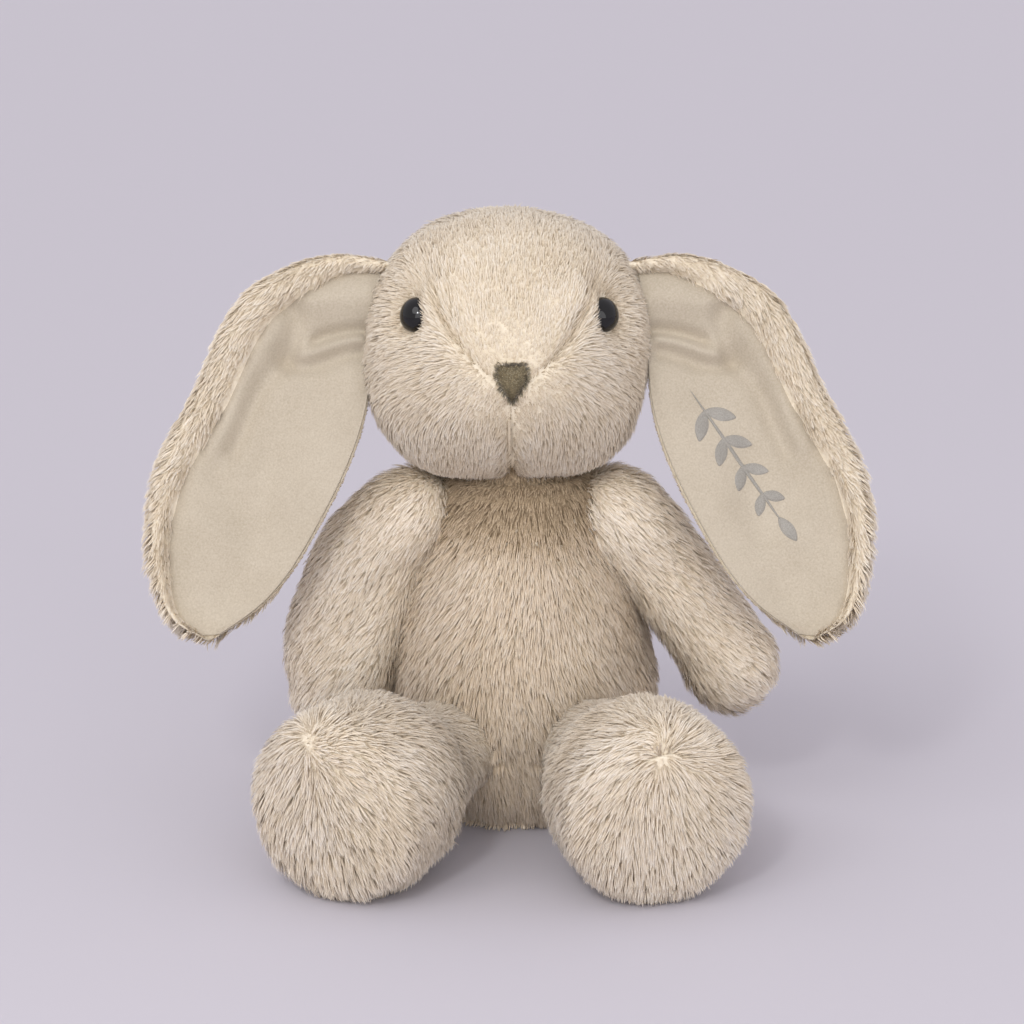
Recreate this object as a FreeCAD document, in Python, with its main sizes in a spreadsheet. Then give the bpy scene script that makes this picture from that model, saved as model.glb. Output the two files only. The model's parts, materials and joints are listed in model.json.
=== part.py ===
"""A seated, lop-eared stuffed rabbit as its sewn covers, fillings and trims, in millimetres.

+Z is up and the rabbit faces -Y, so its own left side is +X.  The origin is on the ground, under the
middle of the whole toy.  Every stuffed form is a pear: a root ball and an end ball, joined by the cone
that touches both.  Its cover is a shell of fabric with the pile pressed down, cut into panels along seams.
"""

import FreeCAD, Part
import math
import os

import Sketcher
from FreeCAD import Vector

DIMENSIONS = {
    # fabric and fits
    "cover": 3.0,
    "joint_gap": 0.5,
    # body
    "body_x": 4.5,
    "body_y": 23.04,
    "belly_radius": 50.5,
    "belly_height": 46.0,
    "chest_radius": 38.0,
    "chest_rise": 49.0,
    "front_panel_angle": 150.0,
    "pouch_radius": 27.0,
    "pouch_depth": 14.0,
    "pouch_height": 21.0,
    "pouch_wall": 0.8,
    "label_width": 18.0,
    "label_thickness": 1.2,
    "label_height": 66.0,
    "label_start": 30.0,
    "label_reach": 34.0,
    # neck
    "neck_x": 3.0,
    "neck_lead": 4.0,
    "neck_height": 134.0,
    "neck_radius": 25.0,
    "thread_radius": 0.5,
    # head
    "head_lead": 8.0,
    "head_height": 187.5,
    "skull_radius": 50.5,
    "muzzle_radius": 40.0,
    "muzzle_reach": 14.0,
    "muzzle_dip": 12.0,
    "gusset_angle": 76.0,
    "gusset_start": 3.0,
    "back_seam": 18.0,
    "nose_width": 12.5,
    "nose_height": 14.0,
    "nose_thickness": 2.0,
    "nose_drop": 1.0,
    "chin_start": 192.0,
    "chin_arc": 26.0,
    "eye_turn": 47.5,
    "eye_rise": 19.5,
    "eye_radius": 6.6,
    "eye_proud": 5.0,
    "eye_stem": 2.2,
    "eye_stem_length": 10.0,
    "washer_radius": 8.0,
    "washer_thickness": 1.5,
    "washer_depth": 3.9,
    # ears
    "ear_width": 95.0,
    "ear_length": 148.0,
    "ear_thickness": 7.0,
    "ear_tilt": 20.0,
    "ear_root": 5.0,
    "ear_spread": 41.5,
    "ear_rise": 33.5,
    "lining_thickness": 2.5,
    "thread_relief": 0.6,
    # arms
    "arm_root": 17.0,
    "arm_end": 17.5,
    "arm_span": 69.0,
    "arm_spread_left": 40.0,
    "arm_spread_right": 46.0,
    "arm_height": 118.0,
    "arm_lead": 10.0,
    "arm_forward": 4.0,
    "arm_left_out": 38.0,
    "arm_right_out": 19.0,
    # legs
    "hip_radius": 20.0,
    "hip_room": 3.2,
    "thigh_length": 26.0,
    "foot_radius": 35.0,
    "foot_start": 46.0,
    "foot_round": 13.0,
    "ankle_round": 9.0,
    "sole_depth": 9.0,
    "leg_length_left": 84.0,
    "leg_length_right": 87.0,
    "hip_spread_left": 28.5,
    "hip_spread_right": 29.5,
    "hip_lead": 42.0,
    "leg_left_turn": 17.0,
    "leg_right_turn": 30.0,
    "pellet_radius": 22.0,
    "pellet_depth": 10.0,
    "pellet_place": 56.5,
    # tail
    "tail_root": 12.0,
    "tail_end": 15.5,
    "tail_span": 15.0,
    "tail_height": 36.0,
    "tail_proud": 3.0,
}

# corners of an ear, from its root down the inner edge to the tip and back up the outer edge, as shares
# of its width and length; each has the radius of the edge that follows it, as a share of the length, or
# None for a straight edge, and the last arc closes the outline round the root
EAR_CORNERS = [
    (0.0, -0.034, None),
    (0.075, -0.05, None),
    (0.15, -0.338, 0.99),
    (0.66, -0.963, 0.12),
    (0.83, -1.0, 0.56),
    (1.0, -0.696, 0.96),
    (0.70, -0.23, 0.41),
    (0.0, 0.034, 0.034),
]
LINING_SHARE = 0.85
LINING_SHIFT = (11.0, -10.0)

# sprig sewn on one lining
SPRIG_MIDDLE = (46.0, -80.0)
SPRIG_TURN = -55.6
SPRIG_STEM = 66.0
SPRIG_PAIRS = [-22.0, -8.0, 6.0, 20.0]
LEAF_LENGTH = 11.0
LEAF_WIDTH = 4.6
LEAF_TURN = 42.0
LEAF_DEPTH = 3.0
STEM_WIDTH = 1.0

# corners of the nose from the upper left one, as shares of its width and height from its middle
NOSE_CORNERS = [(-0.5, 0.5), (0.5, 0.5), (0.5, 0.05), (0.0, -0.5), (-0.5, 0.05)]

FAR = 400.0  # reaches past the whole toy
UNDER = 10.0  # how far a tool starts below the ground
SIDES = (("left", 1), ("right", -1))

doc = FreeCAD.newDocument("rabbit")
sheet = doc.addObject("Spreadsheet::Sheet", "Dims")
for row, (alias, value) in enumerate(DIMENSIONS.items(), start=1):
    sheet.set(f"A{row}", alias)
    sheet.set(f"B{row}", str(value))
    sheet.setAlias(f"B{row}", alias)
doc.recompute()

nodes = {}


def dim(alias):
    return float(sheet.get(alias))


def node(name, item):
    item.Label = name
    nodes[name] = item
    return item


# ---------------------------------------------------------------- placements, as expressions


def at(x, y, z, *turns):
    """A placement at a point, turned about each named axis, the last turn first."""
    axes = {"X": "1; 0; 0", "Y": "0; 1; 0", "Z": "0; 0; 1"}
    turned = " * ".join(f"rotation(vector({axes[a]}); {angle})" for a, angle in turns)
    return f"placement(vector({x}; {y}; {z}); {turned or 'rotation(vector(0; 0; 1); 0)'})"


def moved(frame, x, y, z, *turns):
    """A placement inside another frame."""
    return f"{frame} * {at(x, y, z, *turns)}"


BODY = at("Dims.body_x", "Dims.body_y", 0)
BELLY = moved(BODY, 0, 0, "Dims.belly_height")
NECK = at("Dims.neck_x", "Dims.body_y - Dims.neck_lead", "Dims.neck_height")
HEAD = at(0, "Dims.body_y - Dims.head_lead", "Dims.head_height", ("X", "90 + Dims.muzzle_dip"))
EAR = at(
    "Dims.ear_spread",
    "Dims.body_y - Dims.head_lead",
    "Dims.head_height + Dims.ear_rise",
    ("X", "90 - Dims.ear_tilt"),
)
TAIL = moved(BODY, 0, "Dims.belly_radius + Dims.tail_proud", "Dims.tail_height", ("X", -90))


def eye_frame(sign):
    """Origin on the skull, local Z out through the eye."""
    middle = at(0, "Dims.body_y - Dims.head_lead", "Dims.head_height")
    turned = moved(middle, 0, 0, 0, ("Z", f"{sign} * Dims.eye_turn"), ("X", "90 - Dims.eye_rise"))
    return moved(turned, 0, 0, "Dims.skull_radius")


def arm_frame(side, sign):
    x = f"Dims.body_x + {sign} * Dims.arm_spread_{side}"
    out = ("Y", f"{-sign} * Dims.arm_{side}_out")
    forward = ("X", "180 - Dims.arm_forward")
    return at(x, "Dims.body_y - Dims.arm_lead", "Dims.arm_height", out, forward)


def leg_frame(side, sign):
    x = f"Dims.body_x + {sign} * Dims.hip_spread_{side}"
    turn = ("Z", f"{sign} * Dims.leg_{side}_turn")
    return at(x, "Dims.body_y - Dims.hip_lead", "Dims.foot_radius", turn, ("X", 90))


# ---------------------------------------------------------------- solids bound to the sheet


def primitive(kind, name, frame=None, **sizes):
    item = doc.addObject("Part::" + kind, name)
    for prop, size in sizes.items():
        if isinstance(size, str):
            item.setExpression(prop, size)
        else:
            setattr(item, prop, size)
    if frame:
        item.setExpression("Placement", frame)
    return item


def ball(name, frame, radius):
    return primitive("Sphere", name, frame, Radius=radius)


def block(name, frame, x, y, z, length, width, height):
    """A box from its lowest corner in a frame."""
    corner = moved(frame, x, y, z)
    return primitive("Box", name, corner, Length=length, Width=width, Height=height)


def cut(name, base, *tools):
    tool = tools[0]
    if len(tools) > 1:
        tool = doc.addObject("Part::MultiFuse", name + "_tools")
        tool.Shapes = list(tools)
    item = doc.addObject("Part::Cut", name)
    item.Base = base
    item.Tool = tool
    return item


def common(name, base, tool):
    item = doc.addObject("Part::Common", name)
    item.Base = base
    item.Tool = tool
    return item


def new_sketch(name, frame, plane):
    body = doc.addObject("PartDesign::Body", name)
    sketch = body.newObject("Sketcher::SketchObject", name + "_outline")
    role = [f for f in body.Origin.OriginFeatures if f.Role == plane][0]
    sketch.AttachmentSupport = [(role, "")]
    sketch.MapMode = "FlatFace"
    if frame:
        body.setExpression("Placement", frame)
    return body, sketch


def bind(sketch, expression, *constraint):
    index = sketch.addConstraint(Sketcher.Constraint(*constraint))
    sketch.setExpression(f"Constraints[{index}]", expression)


def revolve(body, sketch):
    solid = body.newObject("PartDesign::Revolution", body.Name + "_turned")
    solid.Profile = sketch
    solid.ReferenceAxis = (sketch, ["V_Axis"])
    solid.Angle = 360
    sketch.Visibility = False
    return solid


def touch_points(root, end, span):
    """Where the cone that touches both balls of a pear meets them, right of its axis."""
    slope = math.asin((root - end) / span)
    out = Vector(math.cos(slope), math.sin(slope), 0)
    return out * root, Vector(0, span, 0) + out * end


def pear(name, frame, root, end, span, inset):
    """A ball of radius root at the frame's origin and one of radius end at span along its Z.

    root, end and span are aliases; inset is how many cover thicknesses the form is inside them."""
    body, sketch = new_sketch(name, frame, "XZ_Plane")
    less = f" - {inset} * Dims.cover"
    small = inset * dim("cover")
    r0, r1, reach = dim(root) - small, dim(end) - small, dim(span)
    low, high = touch_points(r0, r1, reach)
    lower = math.atan2(low.y, low.x)
    upper = math.atan2(high.y - reach, high.x)
    up = Vector(0, 0, 1)
    quarter = math.pi / 2
    first = Part.ArcOfCircle(Part.Circle(Vector(), up, r0), -quarter, lower)
    last = Part.ArcOfCircle(Part.Circle(Vector(0, reach, 0), up, r1), upper, quarter)
    side = Part.LineSegment(low, high)
    axis = Part.LineSegment(Vector(0, reach + r1, 0), Vector(0, -r0, 0))
    sketch.addGeometry([first, side, last, axis], False)
    sketch.addConstraint(
        [
            Sketcher.Constraint("Tangent", 0, 2, 1, 1),
            Sketcher.Constraint("Tangent", 1, 2, 2, 1),
            Sketcher.Constraint("Coincident", 2, 2, 3, 1),
            Sketcher.Constraint("Coincident", 3, 2, 0, 1),
            Sketcher.Constraint("Coincident", 0, 3, -1, 1),
            Sketcher.Constraint("PointOnObject", 2, 3, -2),
            Sketcher.Constraint("PointOnObject", 3, 1, -2),
            Sketcher.Constraint("PointOnObject", 3, 2, -2),
        ]
    )
    bind(sketch, f"Dims.{root}{less}", "Radius", 0, r0)
    bind(sketch, f"Dims.{end}{less}", "Radius", 2, r1)
    bind(sketch, f"Dims.{span}", "DistanceY", 0, 3, 2, 3, reach)
    revolve(body, sketch)
    return body


def leg_form(name, frame, length, inset):
    """A hip ball, a short thigh that widens to the foot, and a drum-shaped foot with rounded edges."""
    body, sketch = new_sketch(name, frame, "XZ_Plane")
    less = f" - {inset} * Dims.cover"
    small = inset * dim("cover")
    hip, foot = dim("hip_radius") - small, dim("foot_radius") - small
    thigh, start, end = dim("thigh_length"), dim("foot_start"), dim(length) - small
    corners = [
        Vector(hip, 0, 0),
        Vector(hip, thigh, 0),
        Vector(foot, start, 0),
        Vector(foot, end, 0),
        Vector(0, end, 0),
        Vector(0, -hip, 0),
    ]
    sketch.addGeometry([Part.LineSegment(a, b) for a, b in zip(corners, corners[1:])], False)
    circle = Part.Circle(Vector(), Vector(0, 0, 1), hip)
    sketch.addGeometry(Part.ArcOfCircle(circle, -math.pi / 2, 0), False)
    joins = [Sketcher.Constraint("Coincident", i, 2, i + 1, 1) for i in range(4)]
    sketch.addConstraint(joins)
    sketch.addConstraint(
        [
            Sketcher.Constraint("Coincident", 4, 2, 5, 1),
            Sketcher.Constraint("Coincident", 5, 2, 0, 1),
            Sketcher.Constraint("Coincident", 5, 3, -1, 1),
            Sketcher.Constraint("Vertical", 0),
            Sketcher.Constraint("Vertical", 2),
            Sketcher.Constraint("Horizontal", 3),
            Sketcher.Constraint("PointOnObject", 3, 2, -2),
            Sketcher.Constraint("PointOnObject", 4, 2, -2),
            Sketcher.Constraint("PointOnObject", 0, 1, -1),
        ]
    )
    bind(sketch, f"Dims.hip_radius{less}", "Radius", 5, hip)
    bind(sketch, "Dims.thigh_length", "DistanceY", -1, 1, 0, 2, thigh)
    bind(sketch, f"Dims.foot_radius{less}", "DistanceX", -1, 1, 1, 2, foot)
    bind(sketch, "Dims.foot_start", "DistanceY", -1, 1, 1, 2, start)
    bind(sketch, f"Dims.{length}{less}", "DistanceY", -1, 1, 2, 2, end)
    turned = revolve(body, sketch)
    doc.recompute()
    soften(body, turned, foot, end, f"Dims.foot_round{less}")
    soften(body, body.Tip, foot, start, f"Dims.ankle_round{less}")
    return body


def soften(body, solid, radius, height, size):
    """Round the circular edge of a turned solid at one radius and height along its axis."""
    for index, edge in enumerate(solid.Shape.Edges, start=1):
        if not isinstance(edge.Curve, Part.Circle):
            continue
        if abs(edge.Curve.Radius - radius) < 1e-3 and abs(edge.Curve.Center.z - height) < 1e-3:
            rounded = body.newObject("PartDesign::Fillet", f"{body.Name}_round_{round(height)}")
            rounded.Base = (solid, [f"Edge{index}"])
            rounded.setExpression("Radius", size)
            doc.recompute()
            return
    raise RuntimeError(f"{body.Name} has no edge of radius {radius} at {height}")


def plate(name, frame, share, shift, lift, thickness):
    """A flat plate of the ear's outline, made smaller by share and moved by shift in its plane."""
    body, sketch = new_sketch(name, moved(frame, 0, 0, lift), "XY_Plane")
    across, along = share * dim("ear_width"), share * dim("ear_length")
    points = [Vector(x * across + shift[0], y * along + shift[1], 0) for x, y, _ in EAR_CORNERS]
    count = len(points)
    for i, (_, _, radius) in enumerate(EAR_CORNERS):
        start, end = points[i], points[(i + 1) % count]
        edge = Part.LineSegment(start, end)
        if radius:
            chord = end - start
            outward = Vector(chord.y, -chord.x, 0).normalize()
            rise = (radius * along) ** 2 - chord.Length**2 / 4
            bulge = radius * along - math.sqrt(max(rise, 0.0))
            edge = Part.Arc(start, (start + end) * 0.5 + outward * bulge, end)
        sketch.addGeometry(edge, False)
    for i, (x, y, radius) in enumerate(EAR_CORNERS):
        sketch.addConstraint(Sketcher.Constraint("Coincident", i, 2, (i + 1) % count, 1))
        right = f"{share * x} * Dims.ear_width + {shift[0]}"
        up = f"{share * y} * Dims.ear_length + {shift[1]}"
        bind(sketch, right, "DistanceX", -1, 1, i, 1, points[i].x)
        bind(sketch, up, "DistanceY", -1, 1, i, 1, points[i].y)
        if radius and i < count - 1:
            bind(sketch, f"{share * radius} * Dims.ear_length", "Radius", i, radius * along)
    root_arc = count - 1
    bind(sketch, f"{shift[0]}", "DistanceX", -1, 1, root_arc, 3, shift[0])
    pad = body.newObject("PartDesign::Pad", name + "_pad")
    pad.Profile = sketch
    pad.setExpression("Length", thickness)
    sketch.Visibility = False
    return body


# ---------------------------------------------------------------- limbs and tail


def half(name, frame, sign):
    """The half space on one side of a frame's YZ plane."""
    return block(name, frame, 0 if sign > 0 else -FAR, -FAR, -FAR, FAR, 2 * FAR, 2 * FAR)


def arm_parts(side, sign):
    """An arm is two panels sewn along its front and back, around a filling."""
    frame = arm_frame(side, sign)
    form = pear(f"arm_{side}_form", frame, "arm_root", "arm_end", "arm_span", 0)
    filling = pear(f"arm_{side}_filling", frame, "arm_root", "arm_end", "arm_span", 1)
    cover = cut(f"arm_{side}_cover", form, filling)
    node(f"arm_{side}_stuffing", filling)
    for face, way in (("outer", sign), ("inner", -sign)):
        panel = common(f"arm_{side}_{face}", cover, half(f"arm_{side}_{face}_half", frame, way))
        node(f"arm_{side}_{face}_panel", panel)


def leg_parts(side, sign):
    """A leg is an inner and an outer panel and a round sole, around filling and a pouch of pellets."""
    frame = leg_frame(side, sign)
    length = f"leg_length_{side}"
    form = leg_form(f"leg_{side}_form", frame, length, 0)
    filling = leg_form(f"leg_{side}_filling", frame, length, 1)
    cover = cut(f"leg_{side}_cover", form, filling)
    pouch = primitive(
        "Ellipsoid",
        f"leg_{side}_pouch",
        moved(frame, 0, 0, "Dims.pellet_place"),
        Radius1="Dims.pellet_depth",
        Radius2="Dims.pellet_radius",
        Radius3="Dims.pellet_radius",
    )
    node(f"leg_{side}_pellet_pouch", pouch)
    node(f"leg_{side}_stuffing", cut(f"leg_{side}_fill", filling, pouch))
    seam = f"Dims.{length} - Dims.sole_depth"
    beyond = block(f"leg_{side}_sole_space", frame, -FAR / 2, -FAR / 2, seam, FAR, FAR, FAR)
    node(f"leg_{side}_sole_panel", common(f"leg_{side}_sole", cover, beyond))
    tube = cut(f"leg_{side}_tube", cover, beyond)
    for face, way in (("outer", sign), ("inner", -sign)):
        panel = common(f"leg_{side}_{face}", tube, half(f"leg_{side}_{face}_half", frame, way))
        node(f"leg_{side}_{face}_panel", panel)


def tail_parts():
    form = pear("tail_form", TAIL, "tail_root", "tail_end", "tail_span", 0)
    filling = pear("tail_filling", TAIL, "tail_root", "tail_end", "tail_span", 1)
    node("tail_cover", cut("tail_shell", form, filling))
    node("tail_stuffing", filling)


def arm_hollow(side, sign):
    """The dent that an arm leaves in the body beside it, a joint gap clear of it all round."""
    frame = arm_frame(side, sign)
    root = ball(f"arm_{side}_root_space", frame, "Dims.arm_root + Dims.joint_gap")
    reach = primitive(
        "Cylinder",
        f"arm_{side}_space",
        frame,
        Radius="Dims.arm_end + 2 * Dims.joint_gap",
        Height="Dims.arm_span",
    )
    return [root, reach]


def hip_hollow(side, sign):
    """Room in the body for a thigh as it swings from straight ahead to straight down."""
    frame = leg_frame(side, sign)
    radius = "Dims.hip_radius + Dims.hip_room"
    x = f"Dims.body_x + {sign} * Dims.hip_spread_{side}"
    below = at(x, "Dims.body_y - Dims.hip_lead", -UNDER)
    drop_height = f"Dims.foot_radius + {UNDER}"
    drop = primitive("Cylinder", f"hip_{side}_drop", below, Radius=radius, Height=drop_height)
    ahead = primitive("Cylinder", f"hip_{side}_ahead", frame, Radius=radius, Height="Dims.thigh_length")
    socket = ball(f"hip_{side}_space", frame, "Dims.hip_radius + Dims.joint_gap")
    return [socket, drop, ahead]


# ---------------------------------------------------------------- body


def body_parts():
    form = pear("body_form", BELLY, "belly_radius", "chest_radius", "chest_rise", 0)
    core = pear("body_core", BELLY, "belly_radius", "chest_radius", "chest_rise", 1)
    under = block("under_seat", BODY, -FAR / 2, -FAR / 2, -FAR, FAR, FAR, FAR)
    under_core = block("under_core", BODY, -FAR / 2, -FAR / 2, f"Dims.cover - {FAR}", FAR, FAR, FAR)
    neck_space = ball("body_neck_space", NECK, "Dims.neck_radius + Dims.joint_gap")
    tail_space = ball("body_tail_space", TAIL, "Dims.tail_root + Dims.joint_gap")
    hollows = [neck_space, tail_space]
    for side, sign in SIDES:
        hollows += arm_hollow(side, sign) + hip_hollow(side, sign)
    whole = cut("body_whole", form, under, *hollows)
    filling = cut("body_filling", core, under_core, *hollows)
    cover = cut("body_cover", whole, cut("body_core_seated", core, under_core))

    pouch_frame = moved(BODY, 0, 0, "Dims.pouch_height")
    wide = "Dims.pouch_radius"
    sizes = {"Radius1": "Dims.pouch_depth", "Radius2": wide, "Radius3": wide}
    pouch_form = primitive("Ellipsoid", "pouch_form", pouch_frame, **sizes)
    inside = {prop: size + " - Dims.pouch_wall" for prop, size in sizes.items()}
    beans = primitive("Ellipsoid", "beans", pouch_frame, **inside)
    node("bean_fill", beans)
    node("bean_pouch", cut("pouch", pouch_form, beans))
    node("body_stuffing", cut("body_fill", filling, pouch_form))

    front = primitive(
        "Cylinder",
        "front_sector",
        moved(BODY, 0, 0, -FAR / 2, ("Z", "-90 - Dims.front_panel_angle / 2")),
        Radius=FAR,
        Height=FAR,
        Angle="Dims.front_panel_angle",
    )
    node("body_front_panel", common("body_front", cover, front))
    back = cut("body_back", cover, front)
    for side, sign in SIDES:
        panel = common(f"body_back_{side}", back, half(f"body_back_{side}_half", BODY, sign))
        node(f"body_back_{side}_panel", panel)

    label = block(
        "label_block",
        BODY,
        "-Dims.label_thickness / 2",
        "Dims.label_start",
        "Dims.label_height",
        "Dims.label_thickness",
        "Dims.label_reach",
        "Dims.label_width",
    )
    node("care_label", cut("label", label, form))


def neck_parts():
    """The firm wad in the neck opening, and the thread that sews head and body together round it."""
    node("neck_stuffing", ball("neck_wad", NECK, "Dims.neck_radius"))
    ring = primitive(
        "Torus",
        "neck_ring",
        NECK,
        Radius1="Dims.neck_radius + Dims.thread_radius",
        Radius2="Dims.thread_radius",
    )
    node("neck_seam_thread", ring)


# ---------------------------------------------------------------- head


def eye_parts(side, sign):
    """A safety eye: a domed button whose stem passes through the cover and a washer behind it."""
    frame = eye_frame(sign)
    dome_space = block(f"eye_{side}_front", frame, -FAR / 2, -FAR / 2, 0, FAR, FAR, FAR)
    dome = primitive(
        "Ellipsoid",
        f"eye_{side}_bead",
        frame,
        Radius1="Dims.eye_proud",
        Radius2="Dims.eye_radius",
        Radius3="Dims.eye_radius",
    )
    stem_base = moved(frame, 0, 0, "-Dims.eye_stem_length")
    stem = primitive(
        "Cylinder",
        f"eye_{side}_stem",
        stem_base,
        Radius="Dims.eye_stem",
        Height="Dims.eye_stem_length + 1",
    )
    eye = doc.addObject("Part::Fuse", f"eye_{side}_button")
    eye.Base = common(f"eye_{side}_dome", dome, dome_space)
    eye.Tool = stem
    node(f"eye_{side}", eye)
    washer_base = moved(frame, 0, 0, "-Dims.washer_depth - Dims.washer_thickness")
    disc = primitive(
        "Cylinder",
        f"washer_{side}_disc",
        washer_base,
        Radius="Dims.washer_radius",
        Height="Dims.washer_thickness",
    )
    node(f"eye_{side}_washer", cut(f"washer_{side}", disc, stem))
    return stem, disc


def head_parts():
    form = pear("head_form", HEAD, "skull_radius", "muzzle_radius", "muzzle_reach", 0)
    core = pear("head_core", HEAD, "skull_radius", "muzzle_radius", "muzzle_reach", 1)
    hollows = [ball("head_neck_space", NECK, "Dims.neck_radius + Dims.joint_gap")]
    for side, sign in SIDES:
        root = at(
            f"{sign} * Dims.ear_spread",
            "Dims.body_y - Dims.head_lead",
            "Dims.head_height + Dims.ear_rise",
        )
        corner = "sqrt(Dims.ear_root^2 + Dims.ear_thickness^2 / 4)"
        hollows.append(ball(f"ear_{side}_space", root, f"{corner} + Dims.joint_gap"))
    stems, discs = zip(*[eye_parts(side, sign) for side, sign in SIDES])
    whole = cut("head_whole", form, core)
    cover = cut("head_cover", whole, *hollows, *stems)
    node("head_stuffing", cut("head_fill", core, *hollows, *stems, *discs))

    ahead = block("head_ahead", HEAD, -FAR / 2, -FAR / 2, "-Dims.back_seam", FAR, FAR, FAR)
    node("head_back_panel", cut("head_back", cover, ahead))
    face = common("head_face", cover, ahead)
    sector = primitive(
        "Cylinder",
        "gusset_sector",
        moved(HEAD, 0, "-Dims.gusset_start", -FAR / 2, ("Z", "90 - Dims.gusset_angle / 2")),
        Radius=FAR,
        Height=FAR,
        Angle="Dims.gusset_angle",
    )
    node("head_forehead_gusset", common("head_gusset", face, sector))
    cheeks = cut("head_cheeks", face, sector)
    for side, sign in SIDES:
        panel = common(f"head_{side}_cheek", cheeks, half(f"head_{side}_half", HEAD, sign))
        node(f"head_{side}_cheek_panel", panel)

    muzzle = moved(HEAD, 0, 0, "Dims.muzzle_reach")
    proud = ball("nose_shell", muzzle, "Dims.muzzle_radius + Dims.nose_thickness")
    felt = cut("nose_felt", proud, form)
    node("nose_patch", common("nose", felt, nose_shield()))
    chin = moved(muzzle, 0, 0, 0, ("Y", 90), ("Z", "Dims.chin_start"))
    seam = primitive(
        "Torus",
        "chin_ring",
        chin,
        Radius1="Dims.muzzle_radius + Dims.thread_radius",
        Radius2="Dims.thread_radius",
        Angle3="Dims.chin_arc",
    )
    node("chin_seam_thread", seam)


def nose_shield():
    """A prism of the nose's outline: flat on top, straight down the sides and pointed below."""
    body, sketch = new_sketch("nose_shield", HEAD, "XY_Plane")
    wide, high, drop = dim("nose_width"), dim("nose_height"), dim("nose_drop")
    points = [Vector(x * wide, (high - drop) * y, 0) for x, y in NOSE_CORNERS]
    count = len(points)
    edges = [Part.LineSegment(points[i], points[(i + 1) % count]) for i in range(count)]
    sketch.addGeometry(edges, False)
    for i, (x, y) in enumerate(NOSE_CORNERS):
        sketch.addConstraint(Sketcher.Constraint("Coincident", i, 2, (i + 1) % count, 1))
        if x:
            bind(sketch, f"{x} * Dims.nose_width", "DistanceX", -1, 1, i, 1, points[i].x)
        else:
            sketch.addConstraint(Sketcher.Constraint("PointOnObject", i, 1, -2))
        level = f"{y} * (Dims.nose_height - Dims.nose_drop)"
        bind(sketch, level, "DistanceY", -1, 1, i, 1, points[i].y)
    pad = body.newObject("PartDesign::Pad", "nose_prism")
    pad.Profile = sketch
    pad.Length = FAR
    sketch.Visibility = False
    return body


# ---------------------------------------------------------------- ears


def mirrored(name, source):
    item = doc.addObject("Part::Mirroring", name)
    item.Source = source
    item.Normal = (1, 0, 0)
    item.Base = (0, 0, 0)
    return item


def ear_parts():
    """An ear is a furry outer with a smooth lining let into its front; the right mirrors the left."""
    outer = plate("ear_form", EAR, 1.0, (0.0, 0.0), "-Dims.ear_thickness / 2", "Dims.ear_thickness")
    top = "Dims.ear_thickness / 2 - Dims.lining_thickness"
    lining = plate("ear_lining", EAR, LINING_SHARE, LINING_SHIFT, top, "Dims.lining_thickness")
    shell = cut("ear_shell", outer, lining)
    node("ear_left_outer", shell)
    node("ear_left_lining", lining)
    node("ear_right_outer", mirrored("ear_shell_mirrored", shell))
    node("ear_right_lining", mirrored("ear_lining_mirrored", lining))
    node("ear_left_embroidery", sprig())


def sprig():
    """Pairs of leaves and an end leaf on a stem, sewn flat on the lining in raised thread."""
    face = "Dims.ear_thickness / 2"
    frame = moved(EAR, SPRIG_MIDDLE[0], SPRIG_MIDDLE[1], face, ("Z", SPRIG_TURN))
    reach = LEAF_LENGTH / 2
    low = (-SPRIG_STEM / 2, -STEM_WIDTH / 2, -STEM_WIDTH)
    stem = block("sprig_stem", frame, *low, SPRIG_STEM - reach, STEM_WIDTH, 2 * STEM_WIDTH)
    pieces = [stem]
    places = [(SPRIG_STEM / 2 - reach, 0, 0)]
    for x in SPRIG_PAIRS:
        places += [(x, 1, LEAF_TURN), (x, -1, -LEAF_TURN)]
    for i, (x, way, turn) in enumerate(places):
        radians = math.radians(turn)
        middle = (x + reach * math.cos(radians) * abs(way), reach * math.sin(radians))
        leaf = primitive(
            "Ellipsoid",
            f"leaf_{i}",
            moved(frame, middle[0], middle[1], 0, ("Z", turn)),
            Radius1=LEAF_DEPTH,
            Radius2=reach,
            Radius3=LEAF_WIDTH / 2,
        )
        pieces.append(leaf)
    fused = doc.addObject("Part::MultiFuse", "sprig_whole")
    fused.Shapes = pieces
    slab = block("sprig_slab", frame, -FAR / 2, -FAR / 2, 0, FAR, FAR, "Dims.thread_relief")
    return common("sprig", fused, slab)


# ---------------------------------------------------------------- build and write


def main():
    body_parts()
    neck_parts()
    head_parts()
    ear_parts()
    for side, sign in SIDES:
        arm_parts(side, sign)
        leg_parts(side, sign)
    tail_parts()
    doc.recompute()
    for item in doc.Objects:
        if "Invalid" in item.State or "Error" in item.State:
            raise RuntimeError(f"{item.Name} failed: {item.State}")
    os.makedirs("parts", exist_ok=True)
    for name, item in nodes.items():
        shape = item.Shape
        if shape.isNull() or not shape.isValid() or not shape.Solids:
            raise RuntimeError(f"{name} has no valid solid")
        shape.exportStep(os.path.join("parts", name + ".step"))
        print(f"{name}: {len(shape.Solids)} solid, {shape.Volume / 1000:.2f} cm3")


main()
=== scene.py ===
"""A seated, lop-eared plush rabbit: combed fur covers, smooth ear linings, button eyes and a sewn nose.

Lengths here are millimetres and angles degrees; a mesh becomes metres when it is made.  The rabbit faces
-Y and its own left is +X.  Fur is real geometry: every strand is a tapered ribbon that grows from a skin.
"""

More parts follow.
